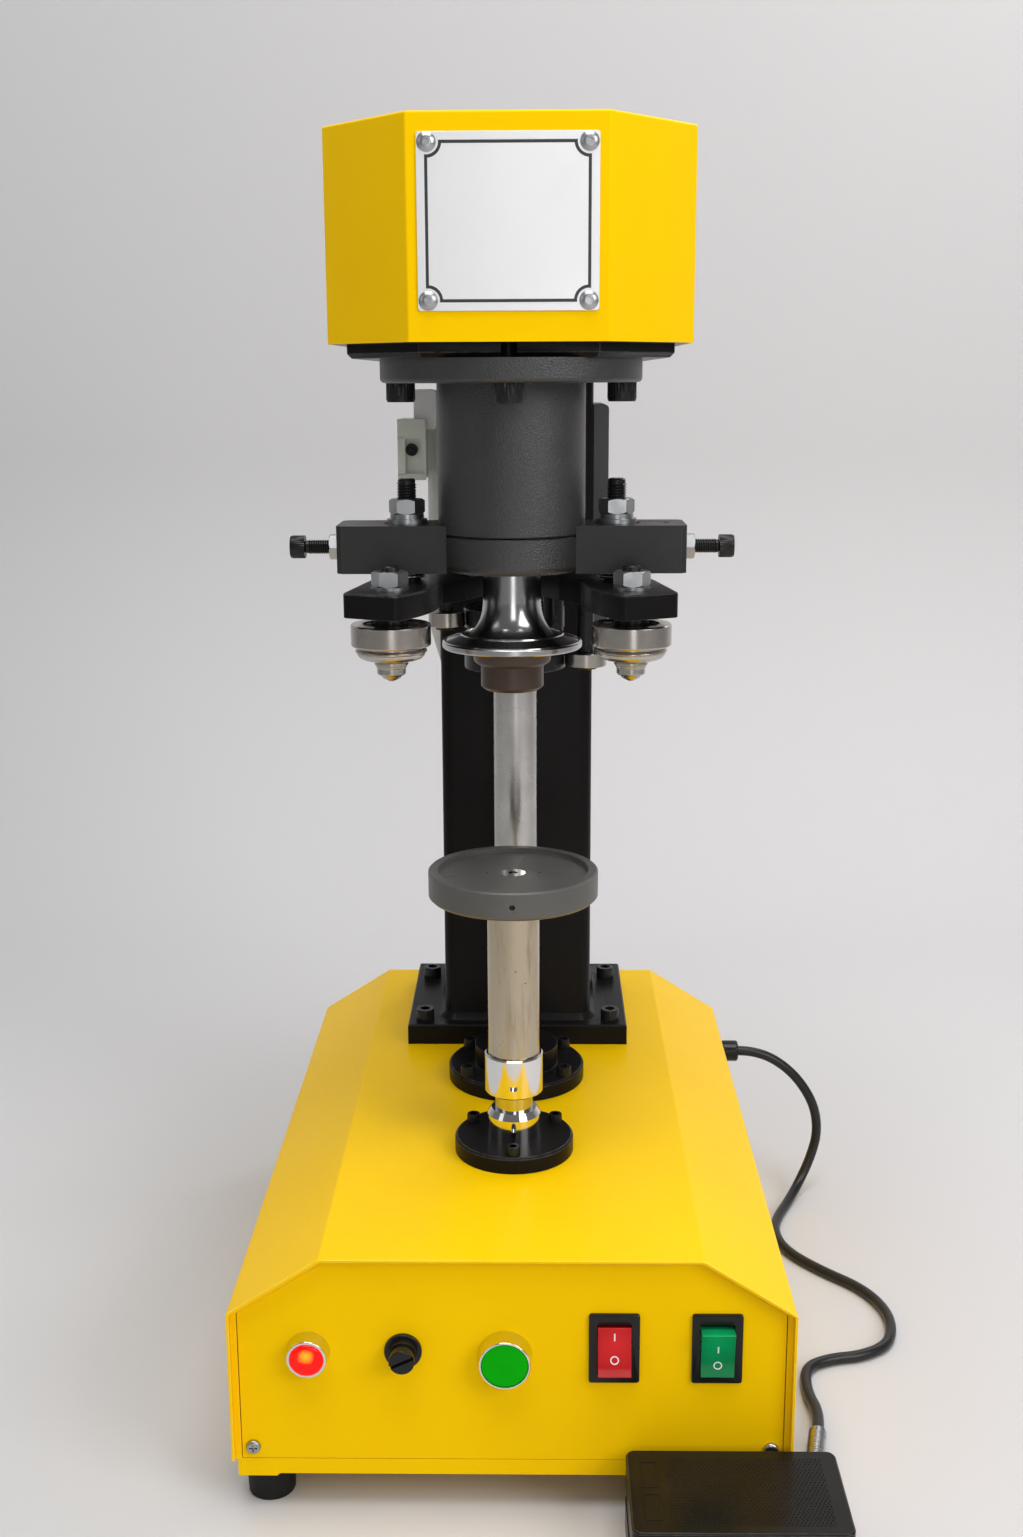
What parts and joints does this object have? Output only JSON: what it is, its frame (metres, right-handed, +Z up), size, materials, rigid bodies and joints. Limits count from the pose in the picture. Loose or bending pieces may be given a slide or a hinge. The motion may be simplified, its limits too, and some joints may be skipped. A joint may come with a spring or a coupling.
{
  "type": "can sealing machine",
  "caption": "Bench can sealing machine: a lifting tray presses a can to a turning chuck while cam driven levers roll its lid on, with panel switches and a foot pedal.",
  "frame": {"origin": "on the floor under the feet, on the axis of the tray and the chuck", "axes": "+X to the right seen from the front panel, +Y to the back, +Z up"},
  "size_m": [0.389, 0.5187, 0.7227],
  "materials": {
    "yellow_paint": "gloss powder coat",
    "black_paint": "satin black paint",
    "grey_paint": "satin",
    "dark_grey_paint": "satin",
    "black_oxide": "black oxide steel",
    "rubber": "matte",
    "cord_rubber": "matte",
    "zinc": "zinc plated",
    "chrome": "polished",
    "polished_steel": "polished steel",
    "ground_steel": "ground steel",
    "dark_steel": "dark machined",
    "plate": "satin plate",
    "white_plastic": "matte",
    "black_plastic": "gloss",
    "pedal_plastic": "grained",
    "red_lens": "clear red",
    "red_plastic": "gloss",
    "green_plastic": "gloss",
    "green_rocker_plastic": "gloss"
  },
  "bodies": {
    "machine": {"hood": "yellow_paint", "head_cover": "yellow_paint", "front_panel": "yellow_paint", "rear_panel": "yellow_paint", "base_pan": "yellow_paint", "column": "black_paint", "deck_frame": "black_paint", "head_plate": "black_paint", "front_flange": "black_paint", "rear_flange": "black_paint", "spindle_housing": "black_paint", "housing_cap": "black_paint", "cross_bar": "black_paint", "gear_motor": "black_paint", "head_motor": "black_paint", "lift_unit": "black_paint", "rubber_feet": "rubber", "small_screws": "zinc", "wiper_ring": "chrome", "flange_screws": "black_oxide", "frame_screws": "black_oxide", "nameplate": "plate", "pivot_studs": "zinc", "adjusters": "black_oxide", "lever_springs": "zinc", "spindle_bearings": "polished_steel", "limit_switch": "white_plastic", "left_side_plate": "grey_paint", "right_side_plate": "dark_grey_paint", "pilot_bezel": "chrome", "pilot_lens": "red_lens", "fuse_holder": "black_plastic", "button_bezel": "chrome", "rocker_frames": "black_plastic", "cord_glands": "black_plastic", "pedal_cord": "cord_rubber", "cord_spring": "zinc", "pedal_base": "pedal_plastic"},
    "fuse_cap": {"fuse_cap": "black_plastic"},
    "start_button": {"start_button": "green_plastic"},
    "red_rocker": {"red_rocker": "red_plastic"},
    "green_rocker": {"green_rocker": "green_rocker_plastic"},
    "lift_post": {"lift_rod": "polished_steel", "height_collar": "chrome", "post_tube": "ground_steel"},
    "tray": {"can_tray": "dark_steel", "tray_screw": "chrome"},
    "spindle": {"spindle_shaft": "polished_steel", "chuck": "polished_steel"},
    "cam_shaft": {"cam_shaft": "ground_steel", "cams": "black_oxide"},
    "left_lever": {"left_lever": "black_paint", "left_pins": "polished_steel"},
    "right_lever": {"right_lever": "black_paint", "right_pins": "polished_steel"},
    "left_roller": {"left_roller": "ground_steel"},
    "right_roller": {"right_roller": "ground_steel"},
    "left_follower": {"left_follower": "ground_steel"},
    "right_follower": {"right_follower": "ground_steel"},
    "treadle": {"pedal_plate": "pedal_plastic"}
  },
  "joints": [
    {"name": "fuse_cap_turn", "type": "hinge", "parent": "machine", "child": "fuse_cap", "pos_m": [-0.0574, -0.1324, 0.0965], "axis": [0, 1, 0], "range_deg": [0, 90]},
    {"name": "button_press", "type": "slide", "parent": "machine", "child": "start_button", "axis": [0, 1, 0], "range_m": [0, 0.0035], "stiffness_N_per_m": 600},
    {"name": "red_rocker_tilt", "type": "hinge", "parent": "machine", "child": "red_rocker", "pos_m": [0.0543, -0.1264, 0.0988], "axis": [1, 0, 0], "range_deg": [0, 16]},
    {"name": "green_rocker_tilt", "type": "hinge", "parent": "machine", "child": "green_rocker", "pos_m": [0.1086, -0.1264, 0.0988], "axis": [-1, 0, 0], "range_deg": [0, 16]},
    {"name": "tray_lift", "type": "slide", "parent": "machine", "child": "lift_post", "axis": [0, 0, 1], "range_m": [0, 0.018]},
    {"name": "tray_spin", "type": "hinge", "parent": "lift_post", "child": "tray", "pos_m": [0, 0, 0.3087], "axis": [0, 0, 1], "continuous": true},
    {"name": "spindle_spin", "type": "hinge", "parent": "machine", "child": "spindle", "pos_m": [0, 0, 0.5], "axis": [0, 0, 1], "continuous": true},
    {"name": "cam_shaft_turn", "type": "hinge", "parent": "machine", "child": "cam_shaft", "pos_m": [0, 0.108, 0.45], "axis": [0, 0, 1], "range_deg": [0, 120]},
    {"name": "left_lever_swing", "type": "hinge", "parent": "machine", "child": "left_lever", "pos_m": [-0.057, 0, 0.4835], "axis": [0, 0, 1], "range_deg": [0, 4], "stiffness_Nm_per_rad": 3, "springref_deg": -2.86},
    {"name": "left_roller_spin", "type": "hinge", "parent": "left_lever", "child": "left_roller", "pos_m": [-0.0635, -0.042, 0.462], "axis": [0, 0, 1], "continuous": true},
    {"name": "left_follower_spin", "type": "hinge", "parent": "left_lever", "child": "left_follower", "pos_m": [-0.0415, 0.1, 0.4546], "axis": [0, 0, 1], "continuous": true},
    {"name": "right_lever_swing", "type": "hinge", "parent": "machine", "child": "right_lever", "pos_m": [0.057, 0, 0.4835], "axis": [0, 0, -1], "range_deg": [0, 4], "stiffness_Nm_per_rad": 3, "springref_deg": -2.86},
    {"name": "right_roller_spin", "type": "hinge", "parent": "right_lever", "child": "right_roller", "pos_m": [0.0635, -0.042, 0.462], "axis": [0, 0, 1], "continuous": true},
    {"name": "right_follower_spin", "type": "hinge", "parent": "right_lever", "child": "right_follower", "pos_m": [0.0435, 0.1, 0.42975], "axis": [0, 0, 1], "continuous": true},
    {"name": "treadle_tilt", "type": "hinge", "parent": "machine", "child": "treadle", "pos_m": [0.116, -0.14, 0.033], "axis": [1, 0, 0], "range_deg": [0, 6], "stiffness_Nm_per_rad": 3, "springref_deg": -2.86}
  ],
  "couplings": [
    {"joint": "left_lever_swing", "follows": "cam_shaft_turn", "ratio": 0.033333}
  ]
}
